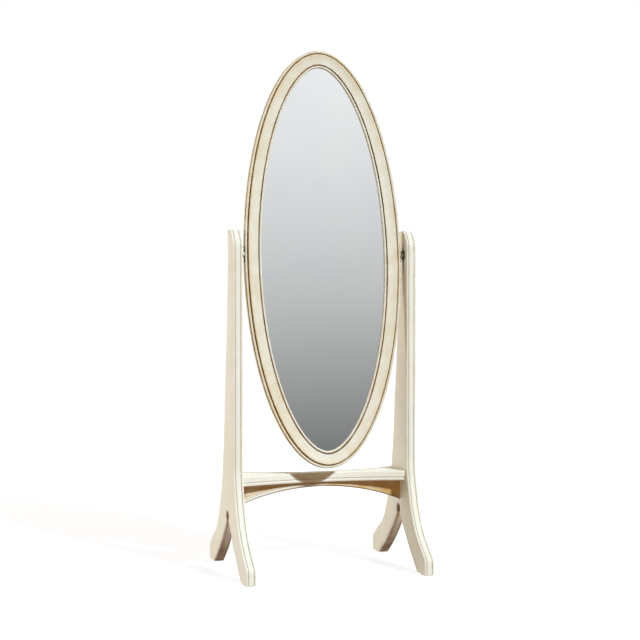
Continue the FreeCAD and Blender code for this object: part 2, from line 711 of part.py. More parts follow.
# ------------------------------------------------------------------------------- build
def check(thing):
    """Stop on a failed object or an empty or broken shape."""
    if any(word in thing.State for word in ("Invalid", "Error")):
        raise RuntimeError(f"{thing.Label}: {thing.State}")
    if hasattr(thing, "Shape") and (thing.Shape.isNull() or not thing.Shape.isValid()):
        raise RuntimeError(f"{thing.Label}: broken shape")


def main():
    fill_sheet()
    for side, word in BOTH_SIDES:
        make_post(side, word)
        make_glides(side, word)
        make_rail_fastenings(side, word)
        make_socket(side, word)
        make_mirror_pivot(side, word)
    make_shelf()
    make_apron()
    make_apron_screws()
    make_frame()
    make_glazing()
    make_buttons()
    doc.recompute()
    for thing in doc.Objects:
        if thing.isDerivedFrom("Part::Feature") or thing.isDerivedFrom("Spreadsheet::Sheet"):
            check(thing)
    os.makedirs("parts", exist_ok=True)
    for thing in nodes:
        thing.Shape.exportStep(f"parts/{thing.Label}.step")
        box = thing.Shape.BoundBox
        print(f"{thing.Label:24s} solids {len(thing.Shape.Solids):2d}  volume {thing.Shape.Volume:12.1f}"
              f"  x {box.XMin:7.1f} {box.XMax:7.1f}  y {box.YMin:7.1f} {box.YMax:7.1f}"
              f"  z {box.ZMin:7.1f} {box.ZMax:7.1f}")


main()
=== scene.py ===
import json
import math

import bmesh
import bpy
from mathutils import Matrix, Vector
from mathutils.geometry import tessellate_polygon


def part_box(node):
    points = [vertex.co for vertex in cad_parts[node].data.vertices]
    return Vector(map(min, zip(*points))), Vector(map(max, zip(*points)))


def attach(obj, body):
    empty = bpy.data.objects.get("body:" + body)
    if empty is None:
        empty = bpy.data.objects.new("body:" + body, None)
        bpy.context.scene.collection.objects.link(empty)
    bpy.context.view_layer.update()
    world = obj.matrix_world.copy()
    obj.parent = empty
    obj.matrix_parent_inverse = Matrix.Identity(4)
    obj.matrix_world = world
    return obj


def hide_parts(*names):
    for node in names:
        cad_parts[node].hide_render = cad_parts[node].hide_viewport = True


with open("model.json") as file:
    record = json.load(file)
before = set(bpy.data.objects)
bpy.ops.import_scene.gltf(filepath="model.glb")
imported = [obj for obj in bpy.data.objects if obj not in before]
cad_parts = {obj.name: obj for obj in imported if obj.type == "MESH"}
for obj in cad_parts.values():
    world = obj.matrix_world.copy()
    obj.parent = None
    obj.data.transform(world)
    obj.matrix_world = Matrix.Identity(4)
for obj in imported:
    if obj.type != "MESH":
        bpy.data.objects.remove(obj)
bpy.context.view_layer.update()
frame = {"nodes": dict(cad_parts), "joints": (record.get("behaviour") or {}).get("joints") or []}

# The looks of a cheval floor mirror: painted boards with moulded edges and an oval moulding take
# the place of the plain CAD ones, all in cream paint with brown glaze in the grooves. The glass,
# the back and the hardware are the CAD's own, with finishes. Lit by a plain white studio.
# Metres; +Z up; the glass looks towards -Y.

MM = 0.001
PIVOT = Vector(frame["joints"][0]["pos_m"])

# ------------------------------------------------------------------------ the design, in mm
# Side view of a post, measured from the plane of its front face. The rows are the shares of the
# way in and the way up at which each foot's curve has its poles, from the toe to the root.
FRONT_REACH = 165
TOE_HEIGHT = 34
SOLE = 71
FLARE_TOP = 340
SCROLL = 52
SCROLL_SETBACK = 34
SCROLL_FLARE = 10
DEPTH_AT_PIVOT = 66
DEPTH_AT_WAIST = 96
DEPTH_AT_SHELF = 141
PIVOT_TO_TOP = 76.5
HOLE_SETBACK = 77
HOLE_HEIGHT = 177
HOLE_RADIUS = 15
NECK_HALF = 9
FRONT_BELLY = 4
REAR_BELLY = 10
FRONT_OGEE = (
    (0.09, 0.08), (0.27, 0.165), (0.46, 0.25), (0.635, 0.365), (0.83, 0.575), (0.955, 0.81),
)
REAR_OGEE = (
    (0.08, 0.085), (0.26, 0.185), (0.455, 0.26), (0.605, 0.35), (0.75, 0.54), (0.885, 0.775),
)
CORNER_TIGHT = 2.5
CORNER_EASY = 9

# Shelf and apron. The shelf's shade is how far the shadow painted on the apron reaches down at the
# ends.
WAIST_FRONT = 40
WAIST_REAR = 63
APRON_MID_DROP = 14.5
SHELF_SHADE = 53

# Mirror frame.
REST_TILT = math.radians(4.9)
PIVOT_RISE = 11
FRAME_HALF_WIDTH = 256
FRAME_HALF_HEIGHT = 659
RABBET_INSET = 45
FRAME_BACK = 11
MORTISE_FLOOR = 252.9
MORTISE_HALF = (8.2, 26.2)

# The painted shade on a post's inner face beside the pivot, where the mirror's edge passes: full
# and faded distances from its middle line, and from the pivot upwards and downwards.
PIVOT_SHADE_SETBACK = 3
PIVOT_SHADE_HALF = (3, 11)
PIVOT_SHADE_UP = (12, 42)
PIVOT_SHADE_DOWN = (20, 190)

# How brown the paint is: on the apron a light rub, with painted shade added towards the right; on
# the oval frame, painted shade towards its foot. FROM and TO, in m, are where it starts to get
# heavier and where it is full.
APRON_RUB, APRON_SHADE_RIGHT = 0.06, 0.84
APRON_SHADE_FROM, APRON_SHADE_TO = -0.14, 0.12
FRAME_FOOT_SHADE = 0.2
FRAME_SHADE_FROM, FRAME_SHADE_TO = -0.3, -0.62


# ------------------------------------------------------------------------------ curves
def flat(first, second):
    return Vector((first, second))


def bezier(start, corner, end, count):
    steps = [index / count for index in range(count + 1)]
    return [start * (1 - t) ** 2 + corner * (2 * t * (1 - t)) + end * t * t for t in steps]


def straight(start, end, count):
    return [start.lerp(end, index / count) for index in range(count + 1)]


def arc(start, middle, end, count):
    """Points from start to end on the circle through all three."""
    ax, ay = start
    bx, by = middle
    cx, cy = end
    twice = 2 * (ax * (by - cy) + bx * (cy - ay) + cx * (ay - by))
    aa, bb, cc = start.length_squared, middle.length_squared, end.length_squared
    centre = flat(
        (aa * (by - cy) + bb * (cy - ay) + cc * (ay - by)) / twice,
        (aa * (cx - bx) + bb * (ax - cx) + cc * (bx - ax)) / twice,
    )
    radius = (start - centre).length
    first, via, last = [math.atan2(*(point - centre).yx) for point in (start, middle, end)]
    turn = (last - first) % math.tau
    if (via - first) % math.tau > turn:
        turn -= math.tau
    angles = [first + turn * index / count for index in range(count + 1)]
    return [centre + flat(math.cos(a), math.sin(a)) * radius for a in angles]


def spline(poles, count=90):
    """The cubic B-spline that starts and ends on its first and last pole."""
    spans = len(poles) - 3

    def knot(index):
        return min(max(index - 3, 0), spans)

    def at(u):
        low = min(int(u), spans - 1)
        held = [poles[low + index] for index in range(4)]
        for level in range(1, 4):
            for index in range(3, level - 1, -1):
                near = knot(low + index)
                share = (u - near) / (knot(low + index + 4 - level) - near)
                held[index] = held[index - 1].lerp(held[index], share)
        return held[3]

    return [at(spans * index / count) for index in range(count + 1)]


def along(toe, root, shares):
    """Points at the given shares of the span from toe to root, across and up."""
    span = root - toe
    return [flat(toe.x + span.x * across, toe.y + span.y * up) for across, up in shares]


def off_chord(start, end, sag):
    """The middle of a chord, moved sag to its right."""
    way = (end - start).normalized()
    return (start + end) / 2 + flat(way.y, -way.x) * sag


# ----------------------------------------------------------------------------- outlines
SHARP_TURN = 0.2        # radians; a joint of two runs that turns less needs no rounding
SAFE_DEPTH = 0.8        # share of the depth at which an offset would fold
FINISH_FADE = 5 * MM    # how far either side of a point its finishes are averaged


class Outline:
    """A closed outline. Each point has three finishes: how much of the moulding its edge has,
    the brown wash on the edge, and the wash on the board's faces beside the edge. Under the
    arches these washes are brown glaze and painted shade; in the keyhole, painted shade."""

    def __init__(self, runs):
        """Each run: points, radius of the corner at its start, finishes at its start and end."""
        self.points, self.finish, corners = [], [], []
        for points, radius, first, last in runs:
            corners.append((len(self.points), radius))
            self.points += points[:-1]
            for index in range(len(points) - 1):
                share = index / (len(points) - 1)
                self.finish.append([a + (b - a) * share for a, b in zip(first, last)])
        self.ease(dict(corners))
        area = sum(
            a.x * b.y - b.x * a.y for a, b in zip(self.points, self.points[1:] + self.points[:1])
        )
        self.inward = 1 if area > 0 else -1

    def ease(self, radii):
        """Rounds the corners and blends the finishes; radii is {index of the corner: radius}."""
        count = len(self.points)
        places = [0.0]
        for index in range(count):
            step = (self.points[(index + 1) % count] - self.points[index]).length
            places.append(places[-1] + step)
        total = places[-1]
        corners = []
        for index, radius in radii.items():
            into = (self.points[index] - self.points[index - 1]).normalized()
            out = (self.points[(index + 1) % count] - self.points[index]).normalized()
            turn = math.acos(max(-1, min(1, into.dot(out))))
            if radius and turn > SHARP_TURN:
                corners.append((index, places[index], turn, radius, radius * math.tan(turn / 2)))

        def at(place):
            place %= total
            index = max(i for i in range(count) if places[i] <= place)
            share = (place - places[index]) / (places[index + 1] - places[index])
            return self.points[index].lerp(self.points[(index + 1) % count], share)

        def apart(a, b):
            gap = abs(a - b) % total
            return min(gap, total - gap)

        kept = []
        for index in range(count):
            if all(apart(places[index], place) > reach for _, place, _, _, reach in corners):
                kept.append((places[index], self.points[index], self.finish[index]))
        for index, place, _, _, reach in corners:
            curve = bezier(at(place - reach), self.points[index], at(place + reach), 6)
            for step, point in enumerate(curve):
                spot = (place + reach * (step - 3) / 3) % total
                kept.append((spot, point, self.finish[index - 1 if step < 3 else index]))
        kept.sort(key=lambda row: row[0])
        self.points = [row[1] for row in kept]
        # How deep an offset may go at each point before it folds at a corner.
        self.room = []
        for spot, _, _ in kept:
            room = 1.0
            for _, place, turn, radius, reach in corners:
                beyond = max(0.0, apart(spot, place) - reach)
                room = min(room, SAFE_DEPTH * (radius + beyond / math.tan(turn / 2)))
            self.room.append(room)
        # Moulding and wash run out over a short length where they end.
        self.finish = []
        for spot, _, _ in kept:
            near = [finish for place, _, finish in kept if apart(spot, place) <= FINISH_FADE]
            self.finish.append([sum(values) / len(near) for values in zip(*near)])

    def normals(self):
        """Directions into the board at each point."""
        count = len(self.points)
        result = []
        for index in range(count):
            into = (self.points[index] - self.points[index - 1]).normalized()
            out = (self.points[(index + 1) % count] - self.points[index]).normalized()
            way = (into + out).normalized()
            result.append(flat(-way.y, way.x) * self.inward)
        return result


# --------------------------------------------------------------------------- mesh making
def smoothstep(low, high, value):
    t = max(0.0, min(1.0, (value - low) / (high - low)))
    return t * t * (3 - 2 * t)


def new_piece(name, verts, faces, attributes, material):
    """A smooth-shaded piece with one float attribute per entry of attributes."""
    mesh = bpy.data.meshes.new(name)
    mesh.from_pydata(verts, [], faces)
    for key, values in attributes.items():
        layer = mesh.attributes.new(key, "FLOAT", "POINT")
        layer.data.foreach_set("value", values)
    work = bmesh.new()
    work.from_mesh(mesh)
    bmesh.ops.recalc_face_normals(work, faces=work.faces)
    work.to_mesh(mesh)
    work.free()
    mesh.shade_smooth()
    mesh.set_sharp_from_angle(angle=math.radians(40))
    mesh.materials.append(material)
    piece = bpy.data.objects.new(name, mesh)
    bpy.context.scene.collection.objects.link(piece)
    return piece


def ring_faces(rings, around, closed):
    """Quads between neighbouring rings of `around` points each."""
    faces = []
    for ring in range(rings if closed else rings - 1):
        first = ring * around
        second = ((ring + 1) % rings) * around
        for step in range(around):
            after = (step + 1) % around
            faces.append((first + step, first + after, second + after, second + step))
    return faces


def bar(name, stations, material, closed=False):
    """A solid lofted through closed sections; each section point is (place, glaze, wash_and_shade).
    """
    around = len(stations[0])
    rows = [row for station in stations for row in station]
    faces = ring_faces(len(stations), around, closed)
    if not closed:
        faces.append(tuple(range(around)))
        faces.append(tuple(len(rows) - around + step for step in range(around)))
    attributes = {"glaze": [row[1] for row in rows], "wash_and_shade": [row[2] for row in rows]}
    return new_piece(name, [row[0] for row in rows], faces, attributes, material)


def board(name, outline, section, place, material):
    """A board with a profiled edge. The section's rows are (across, depth where moulded, depth
    where plain, glaze); place turns (across, outline point) into a point in space."""
    verts, glaze, wash_and_shade, faces = [], [], [], []
    across_count = len(section)
    side, far = section[-1][:2]
    near = min(row[1] for row in section if row[0] == side)
    for point, normal, room, (share, edge, rim) in zip(
        outline.points, outline.normals(), outline.room, outline.finish
    ):
        for across, moulded, plain, tint in section:
            depth = min(plain + (moulded - plain) * share, room)
            verts.append(Vector(place(across, point + normal * depth)))
            glaze.append(tint * share)
            on_side = abs(across) == side
            wash_and_shade.append(rim * (far - moulded) / (far - near) if on_side else edge)
    count = len(outline.points)
    for ring in range(count):
        first = ring * across_count
        second = ((ring + 1) % count) * across_count
        for step in range(across_count - 1):
            faces.append((first + step, first + step + 1, second + step + 1, second + step))
    for side in (0, across_count - 1):
        rim = [ring * across_count + side for ring in range(count)]
        for corners in tessellate_polygon([[verts[index] for index in rim]]):
            faces.append(tuple(rim[corner] for corner in corners))
    return new_piece(name, verts, faces, {"glaze": glaze, "wash_and_shade": wash_and_shade}, material)


# ---------------------------------------------------------------------------- materials
def srgb(red, green, blue):
    """A colour given as 0-255 display values, as the linear RGBA that a socket takes."""
    def linear(value):
        value /= 255
        return value / 12.92 if value <= 0.04045 else ((value + 0.055) / 1.055) ** 2.4
    return (linear(red), linear(green), linear(blue), 1.0)


class Shader:
    """Short names for building one material's node tree."""

    def __init__(self, name):
        self.material = bpy.data.materials.new(name)
        self.material.use_nodes = True
        self.tree = self.material.node_tree
        self.out = self.tree.nodes["Principled BSDF"]

    def node(self, kind, inputs=(), **settings):
        made = self.tree.nodes.new(kind)
        for key, value in settings.items():
            setattr(made, key, value)
        for key, value in dict(inputs).items():
            self.feed(made.inputs[key], value)
        return made

    def feed(self, socket, value):
        if isinstance(value, bpy.types.NodeSocket):
            self.tree.links.new(value, socket)
        else:
            socket.default_value = value

    def place(self, scale):
        """The piece's own coordinates, stretched."""
        where = self.node("ShaderNodeTexCoord").outputs["Object"]
        return self.node("ShaderNodeMapping", {"Vector": where, "Scale": scale}).outputs[0]

    def noise(self, scale, detail=4.0, stretch=(1, 1, 1), roughness=0.55):
        inputs = {"Vector": self.place(stretch), "Scale": scale, "Detail": detail,
                  "Roughness": roughness}
        return self.node("ShaderNodeTexNoise", inputs).outputs["Fac"]

    def spread(self, value, low, high, to_low=0.0, to_high=1.0):
        inputs = {"Value": value, "From Min": low, "From Max": high, "To Min": to_low,
                  "To Max": to_high}
        return self.node("ShaderNodeMapRange", inputs).outputs[0]

    def math(self, operation, first, second, clamp=False):
        made = self.node("ShaderNodeMath", operation=operation, use_clamp=clamp)
        self.feed(made.inputs[0], first)
        self.feed(made.inputs[1], second)
        return made.outputs[0]

    def mix(self, share, first, second):
        made = self.node("ShaderNodeMix", data_type="RGBA")
        self.feed(made.inputs[0], share)
        self.feed(made.inputs[6], first)
        self.feed(made.inputs[7], second)
        return made.outputs[2]

    def attribute(self, name):
        return self.node("ShaderNodeAttribute", attribute_name=name).outputs["Fac"]

    def bump(self, height, strength, distance):
        inputs = {"Height": height, "Strength": strength, "Distance": distance}
        self.feed(self.out.inputs["Normal"], self.node("ShaderNodeBump", inputs).outputs[0])

    def set(self, **values):
        for key, value in values.items():
            self.feed(self.out.inputs[key.replace("_", " ")], value)
        return self.material


CREAM = srgb(241, 240, 230)
CREAM_WARM = srgb(233, 226, 204)
CREAM_WORN = srgb(222, 210, 180)
GOLD = srgb(176, 138, 78)
UMBER = srgb(84, 58, 26)


def pivot_shade(s):
    """Painted shade where the mirror's edge passes a post: brown on the inner face, run down below
    the pin.
    """
    split = s.node("ShaderNodeSeparateXYZ", {"Vector": s.place((1, 1, 1))})
    across, along_y, up = split.outputs
    inner = abs(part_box("right_post")[0].x)
    full, faded = (value * MM for value in PIVOT_SHADE_HALF)
    top, top_faded = (PIVOT.z + value * MM for value in PIVOT_SHADE_UP)
    foot, foot_faded = (PIVOT.z - value * MM for value in PIVOT_SHADE_DOWN)
    middle = PIVOT.y + PIVOT_SHADE_SETBACK * MM
    share = s.spread(s.math("ABSOLUTE", across, 0.0), inner + 2 * MM, inner + MM)
    off_middle = s.math("ABSOLUTE", s.math("SUBTRACT", along_y, middle), 0.0)
    share = s.math("MULTIPLY", share, s.spread(off_middle, faded, full))
    share = s.math("MULTIPLY", share, s.spread(up, top_faded, top))
    return s.math("MULTIPLY", share, s.spread(up, foot_faded, foot))


def paint(name, stretch, tones, age, glaze, groove, wash_and_shade_colour, wash_and_shade_share, shade_streak=None):
    """Satin cream paint with brush marks, brown glaze in the grooves and a brown wash that is
    partly rubbed glaze and partly painted shade.

    tones: cream and aged cream; age: how much of the second shows; glaze: its dark and pale
    browns; groove: strength of the glaze; wash_and_shade_colour, wash_and_shade_share: the wash and
    painted shade, and its strength;
    shade_streak: a function that gives the share of umber painted as shade at a place."""
    s = Shader(name)
    clouds = s.noise(3.5, 3.0)
    patches = s.noise(22.0, 5.0)
    strokes = s.noise(60.0, 4.0, stretch, 0.6)
    specks = s.noise(420.0, 2.0)
    tone = s.spread(s.math("ADD", clouds, patches), 0.75, 1.3)
    colour = s.mix(s.math("MULTIPLY", tone, age, clamp=True), *tones)
    colour = s.mix(s.spread(strokes, 0.35, 0.7, 0.0, 0.08), colour, CREAM_WORN)
    worn = s.spread(patches, 0.3, 0.7, 0.55, 1.15)
    # The wash attribute holds both rubbed glaze and painted shade.
    wash_and_shade = s.math("MULTIPLY", s.attribute("wash_and_shade"), worn, clamp=True)
    streaked = s.math("MULTIPLY", wash_and_shade, s.spread(strokes, 0.3, 0.65, 0.8, 1.1))
    colour = s.mix(s.math("MULTIPLY", streaked, wash_and_shade_share, clamp=True), colour, wash_and_shade_colour)
    brown = s.mix(s.spread(clouds, 0.4, 0.62), *glaze)
    uneven = s.math("MULTIPLY", s.spread(strokes, 0.25, 0.7, 0.8, 1.1),
                    s.spread(patches, 0.3, 0.7, 0.8, 1.1))
    lines = s.math("MULTIPLY", s.attribute("glaze"), s.math("MULTIPLY", uneven, groove), clamp=True)
    colour = s.mix(lines, colour, brown)
    # Painted shade: an umber streak beside the pivot.
    if shade_streak:
        colour = s.mix(s.math("MULTIPLY", shade_streak(s), 0.8), colour, UMBER)
    colour = s.mix(s.spread(specks, 0.69, 0.75, 0.0, 0.3), colour, GOLD)
    s.bump(s.math("ADD", strokes, s.math("MULTIPLY", specks, 0.2)), 0.06, 0.0006)
    return s.set(Base_Color=colour, Roughness=s.spread(strokes, 0.2, 0.8, 0.5, 0.64),
                 Specular_IOR_Level=0.3)


def metal(name, dull, bright, roughness, scale=90.0):
    s = Shader(name)
    mottle = s.noise(scale, 4.0)
    grain = s.noise(scale * 8, 3.0)
    colour = s.mix(s.spread(mottle, 0.35, 0.65), dull, bright)
    s.bump(grain, 0.15, 0.0002)
    rough = s.spread(mottle, 0.3, 0.7, roughness - 0.06, roughness + 0.1)
    return s.set(Base_Color=colour, Metallic=1.0, Roughness=rough)


def nylon(name, colour, shade):
    s = Shader(name)
    cloud = s.noise(140.0, 3.0)
    s.bump(s.noise(900.0, 2.0), 0.12, 0.0002)
    tone = s.mix(s.spread(cloud, 0.35, 0.65), colour, shade)
    return s.set(Base_Color=tone, Roughness=s.spread(cloud, 0.3, 0.7, 0.42, 0.55))


def timber(name, pale, dark, stretch):
    s = Shader(name)
    grain = s.noise(120.0, 5.0, stretch, 0.65)
    broad = s.noise(15.0, 3.0, stretch)
    colour = s.mix(s.spread(s.math("ADD", grain, broad), 0.8, 1.2), pale, dark)
    s.bump(grain, 0.25, 0.0003)
    return s.set(Base_Color=colour, Roughness=0.6)


def hardboard(name):
    """Brown hardboard: a fine fibre mottle and the woven mark of the press screen."""
    s = Shader(name)
    fibre = s.noise(260.0, 6.0, (1, 1, 0.6), 0.7)
    broad = s.noise(9.0, 3.0)
    colour = s.mix(s.spread(fibre, 0.3, 0.7), srgb(96, 66, 40), srgb(142, 104, 68))
    colour = s.mix(s.spread(broad, 0.35, 0.7, 0.0, 0.35), colour, srgb(82, 56, 34))
    waves = []
    for direction in ("X", "Z"):
        inputs = {"Vector": s.place((1, 1, 1)), "Scale": 95.0, "Distortion": 0.3}
        made = s.node("ShaderNodeTexWave", inputs, bands_direction=direction)
        waves.append(made.outputs["Fac"])
    mesh_mark = s.math("MULTIPLY", waves[0], waves[1])
    s.bump(s.math("ADD", mesh_mark, s.math("MULTIPLY", fibre, 0.5)), 0.3, 0.0004)
    return s.set(Base_Color=colour, Roughness=s.spread(fibre, 0.3, 0.7, 0.62, 0.8))


def felt(name, colour, shade):
    s = Shader(name)
    fuzz = s.noise(700.0, 5.0, roughness=0.7)
    s.bump(fuzz, 0.5, 0.0004)
    tone = s.mix(s.spread(fuzz, 0.3, 0.7), colour, shade)
    return s.set(Base_Color=tone, Roughness=0.95)


def silvered(name):
    """Mirror glass: all but flawless, with the faintest haze."""
    s = Shader(name)
    haze = s.noise(5.0, 4.0)
    tone = s.mix(s.spread(haze, 0.3, 0.7), srgb(243, 245, 246), srgb(239, 242, 243))
    rough = s.spread(haze, 0.35, 0.75, 0.004, 0.02)
    return s.set(Base_Color=tone, Metallic=1.0, Roughness=rough)


# The posts' streak beside the pivot is painted shade; their wash is brown glaze on the edges with
# painted shade under the arches and in the keyhole.
post_paint = paint(
    "post_paint", (1, 1, 0.04), tones=(CREAM, CREAM_WARM), age=0.5,
    glaze=(srgb(140, 120, 80), srgb(168, 146, 102)), groove=0.75,
    wash_and_shade_colour=srgb(132, 98, 54), wash_and_shade_share=0.95, shade_streak=pivot_shade,
)
# The rail's wash is mostly painted shade: the shelf's shadow on the apron, shade on the apron's
# right half and on the shelf's underside, over a light rub.
rail_paint = paint(
    "rail_paint", (0.04, 1, 1), tones=(CREAM, CREAM_WARM), age=0.5,
    glaze=(UMBER, srgb(150, 106, 56)), groove=0.9,
    wash_and_shade_colour=srgb(206, 166, 98), wash_and_shade_share=1.0,
)
# The frame's wash is a gold wash on the outer moulding, with painted shade added towards the
# frame's foot.
frame_paint = paint(
    "frame_paint", (1, 1, 0.3), tones=(srgb(236, 234, 222), srgb(224, 216, 192)), age=1.1,
    glaze=(srgb(84, 52, 20), srgb(134, 90, 40)), groove=1.0,
    wash_and_shade_colour=srgb(212, 178, 104), wash_and_shade_share=0.7,
)
plated = metal("zinc_plate", srgb(176, 172, 160), srgb(214, 210, 198), 0.32)
# Bronze hardware, darkened so that it also stands in for the shade in the gap between the frame and
# the posts.
gap_shade_bronze = metal("gap_shade_bronze_steel", srgb(84, 66, 44), srgb(118, 94, 62), 0.45)
casting = metal("zinc_casting", srgb(160, 162, 164), srgb(190, 192, 194), 0.5, 200.0)
CAD_FINISHES = {
    "glide": nylon("glide_nylon", srgb(222, 218, 204), srgb(204, 198, 182)),
    "spacer": nylon("spacer_nylon", srgb(232, 228, 216), srgb(216, 210, 194)),
    "dowels": timber("beech", srgb(214, 178, 132), srgb(188, 148, 102), (0.05, 1, 1)),
    "nuts": casting,
    "bolts": plated,
    "screws": plated,
    "pin": plated,
    "plate": gap_shade_bronze,
    "socket": gap_shade_bronze,
    "buttons": plated,
    "ring": felt("black_felt", srgb(34, 33, 32), srgb(52, 50, 48)),
    "sheet": felt("cushion_sheet", srgb(206, 204, 198), srgb(188, 186, 180)),
    "glass": silvered("silvered_glass"),
    "board": hardboard("hardboard"),
}


def finish_cad_nodes():
    """Every CAD node that stays in view gets its finish by the last word of its name."""
    for name, node in frame["nodes"].items():
        finish = CAD_FINISHES.get(name.split("_")[-1])
        if finish is None:
            continue
        node.data.materials.clear()
        node.data.materials.append(finish)


# -------------------------------------------------------------------------------- posts
# Half an edge, from the middle of the board outwards: a raised centre, a quirk and a round arris.
# Rows: (across, depth where moulded, depth where plain, glaze).
POST_SECTION = (
    (0, 0, 0, 0), (3, 0.04, 0, 0), (5.5, 0.18, 0, 0), (6.9, 0.45, 0, 0.12), (7.7, 0.85, 0, 0.4),
    (8.3, 1.5, 0, 0.85), (8.7, 2.0, 0, 1), (9.1, 2.1, 0, 1), (9.5, 1.7, 0, 0.95),
    (9.9, 1.05, 0, 0.5), (10.4, 0.55, 0, 0.15), (11.2, 0.3, 0, 0), (12.2, 0.42, 0, 0),
    (13.2, 0.78, 0, 0), (14.1, 1.36, 0.08, 0), (14.9, 2.16, 0.42, 0), (15.5, 3.1, 0.95, 0),
    (15.9, 4.2, 1.75, 0), (16, 5.4, 2.6, 0), (16, 13, 3.0, 0), (16, 26, 3.4, 0),
)


def mirrored(section):
    """The whole section across the board, from the half that is written down."""
    rows = [tuple(value * MM for value in row[:3]) + (row[3],) for row in section]
    return [(-row[0],) + row[1:] for row in reversed(rows[1:])] + rows


def post_outline(front_y, low, high, rear_y):
    """The side view of a post in (y, z)."""
    def at(setback, height):
        return flat(front_y + setback * MM, height)

    toe = TOE_HEIGHT * MM
    front_toe = at(-FRONT_REACH, low + toe)
    rear_toe = flat(rear_y, low + toe)
    front_root = at(0, FLARE_TOP * MM)
    shelf_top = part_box("stretcher_shelf")[1].z
    pivot_z = high - PIVOT_TO_TOP * MM
    shelf_back = at(DEPTH_AT_SHELF, shelf_top)
    waist_back = at(DEPTH_AT_WAIST, (pivot_z + shelf_top) / 2)
    pivot_back = at(DEPTH_AT_PIVOT, pivot_z)
    scroll_start = at(0, high - SCROLL * MM)
    scroll_end = at(SCROLL_SETBACK, high)
    rear_end = at(DEPTH_AT_PIVOT + SCROLL_FLARE, high)
    rear_start = at(DEPTH_AT_PIVOT, high - SCROLL * MM)
    front_heel = flat(front_toe.x + SOLE * MM, low)
    rear_heel = flat(rear_y - SOLE * MM, low)
    hole = at(HOLE_SETBACK, HOLE_HEIGHT * MM)
    neck_drop = math.sqrt(HOLE_RADIUS ** 2 - NECK_HALF ** 2) * MM
    front_neck = hole + flat(-NECK_HALF * MM, -neck_drop)
    rear_neck = hole + flat(NECK_HALF * MM, -neck_drop)
    crown = hole + flat(0, HOLE_RADIUS * MM)
    easing = flat(0, toe / 2)
    half_scroll = high - SCROLL * MM / 2
    front_edge = [front_toe, front_toe + easing] + along(front_toe, front_root, FRONT_OGEE)
    front_edge += [front_root - easing, front_root]
    rear_edge = [rear_toe, rear_toe + easing] + along(rear_toe, shelf_back, REAR_OGEE)
    rear_edge += [shelf_back, waist_back, pivot_back - flat(0, PIVOT_TO_TOP * MM), pivot_back]
    rear_arch = off_chord(rear_heel, rear_neck, -REAR_BELLY * MM)
    front_arch = off_chord(front_neck, front_heel, -FRONT_BELLY * MM)
    tight, easy = CORNER_TIGHT * MM, CORNER_EASY * MM
    front, plain = (1, 0, 0.04), (0, 0, 0.1)
    # heel: brown glaze and painted shade under the arch; keyhole: painted shade in the hole.
    heel, neck, keyhole = (0.8, 1, 0.4), (0.6, 0, 0.1), (0.5, 0.7, 0.12)
    rear_scroll = bezier(rear_end, at(DEPTH_AT_PIVOT, half_scroll), rear_start, 14)
    return Outline([
        (straight(flat(front_toe.x, low), front_toe, 6), tight, front, front),
        (spline(front_edge), 0, front, front),
        (straight(front_root, scroll_start, 60), 0, front, front),
        (bezier(scroll_start, at(0, half_scroll), scroll_end, 16), 0, front, front),
        (straight(scroll_end, rear_end, 8), easy, plain, plain),
        (rear_scroll, tight * 2, plain, plain),
        (straight(rear_start, pivot_back, 3), 0, plain, plain),
        (spline(rear_edge[::-1], 140), 0, plain, plain),
        (straight(rear_toe, flat(rear_y, low), 6), 0, plain, plain),
        (straight(flat(rear_y, low), rear_heel, 12), tight, plain, plain),
        (arc(rear_heel, rear_arch, rear_neck, 48), tight * 2, heel, neck),
        (arc(rear_neck, crown, front_neck, 40), tight, keyhole, keyhole),
        (arc(front_neck, front_arch, front_heel, 44), tight, neck, heel),
        (straight(front_heel, flat(front_toe.x, low), 12), tight * 2, plain, plain),
    ])


def make_posts():
    section = mirrored(POST_SECTION)
    for node in ("left_post", "right_post"):
        low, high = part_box(node)
        middle = (low.x + high.x) / 2
        outline = post_outline(low.y + FRONT_REACH * MM, low.z, high.z, high.y)

        def place(across, point, middle=middle):
            return (middle + across, point.x, point.y)

        piece = board(node + "_moulded", outline, section, place, post_paint)
        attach(piece, "stand")
        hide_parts(node)


# ----------------------------------------------------------------------- shelf and apron
# The shelf's edge from its top down: (height above the underside, depth, glaze).
SHELF_EDGE = (
    (32, 3.2, 0), (31.7, 1.9, 0), (31.0, 0.95, 0), (30.0, 0.35, 0), (28.8, 0.05, 0), (27.5, 0, 0),
    (22, 0, 0), (17, 0, 0), (13.4, 0, 0), (12.4, 0.25, 0.1), (11.8, 0.9, 0.3), (11.3, 1.8, 0.4),
    (10.8, 2.1, 0.4), (10.3, 1.7, 0.35), (9.8, 0.9, 0.2), (9.0, 0.35, 0), (7.8, 0.05, 0),
    (6.2, 0, 0), (4.6, 0.1, 0), (3.2, 0.5, 0), (1.9, 1.2, 0), (0.9, 2.1, 0), (0.3, 3.1, 0),
    (0, 4.2, 0),
)
# The line along the rear of the shelf's top: (distance in from the arris, glaze).
REAR_LINE = ((0.4, 1), (9.0, 1), (10.5, 0))
# Painted shade on the shelf's underside.
UNDERSIDE_SHADE = 0.5
RAIL_STEPS = 120


def bow_radius(half, sag):
    return (half * half + sag * sag) / (2 * sag)


def edge_sag(x, half, sag):
    """Depth of a circular waist at x, where it is sag deep in the middle and 0 at the ends."""
    radius = bow_radius(half, sag)
    return math.sqrt(radius * radius - x * x) - (radius - sag)


def bow_slope(x, half, sag):
    """How much longer the edge is than its span along X there."""
    radius = bow_radius(half, sag)
    return radius / math.sqrt(radius * radius - x * x)


def stations(half, count):
    """Evenly spaced places along X, from -half to half."""
    return [-half + 2 * half * index / count for index in range(count + 1)]


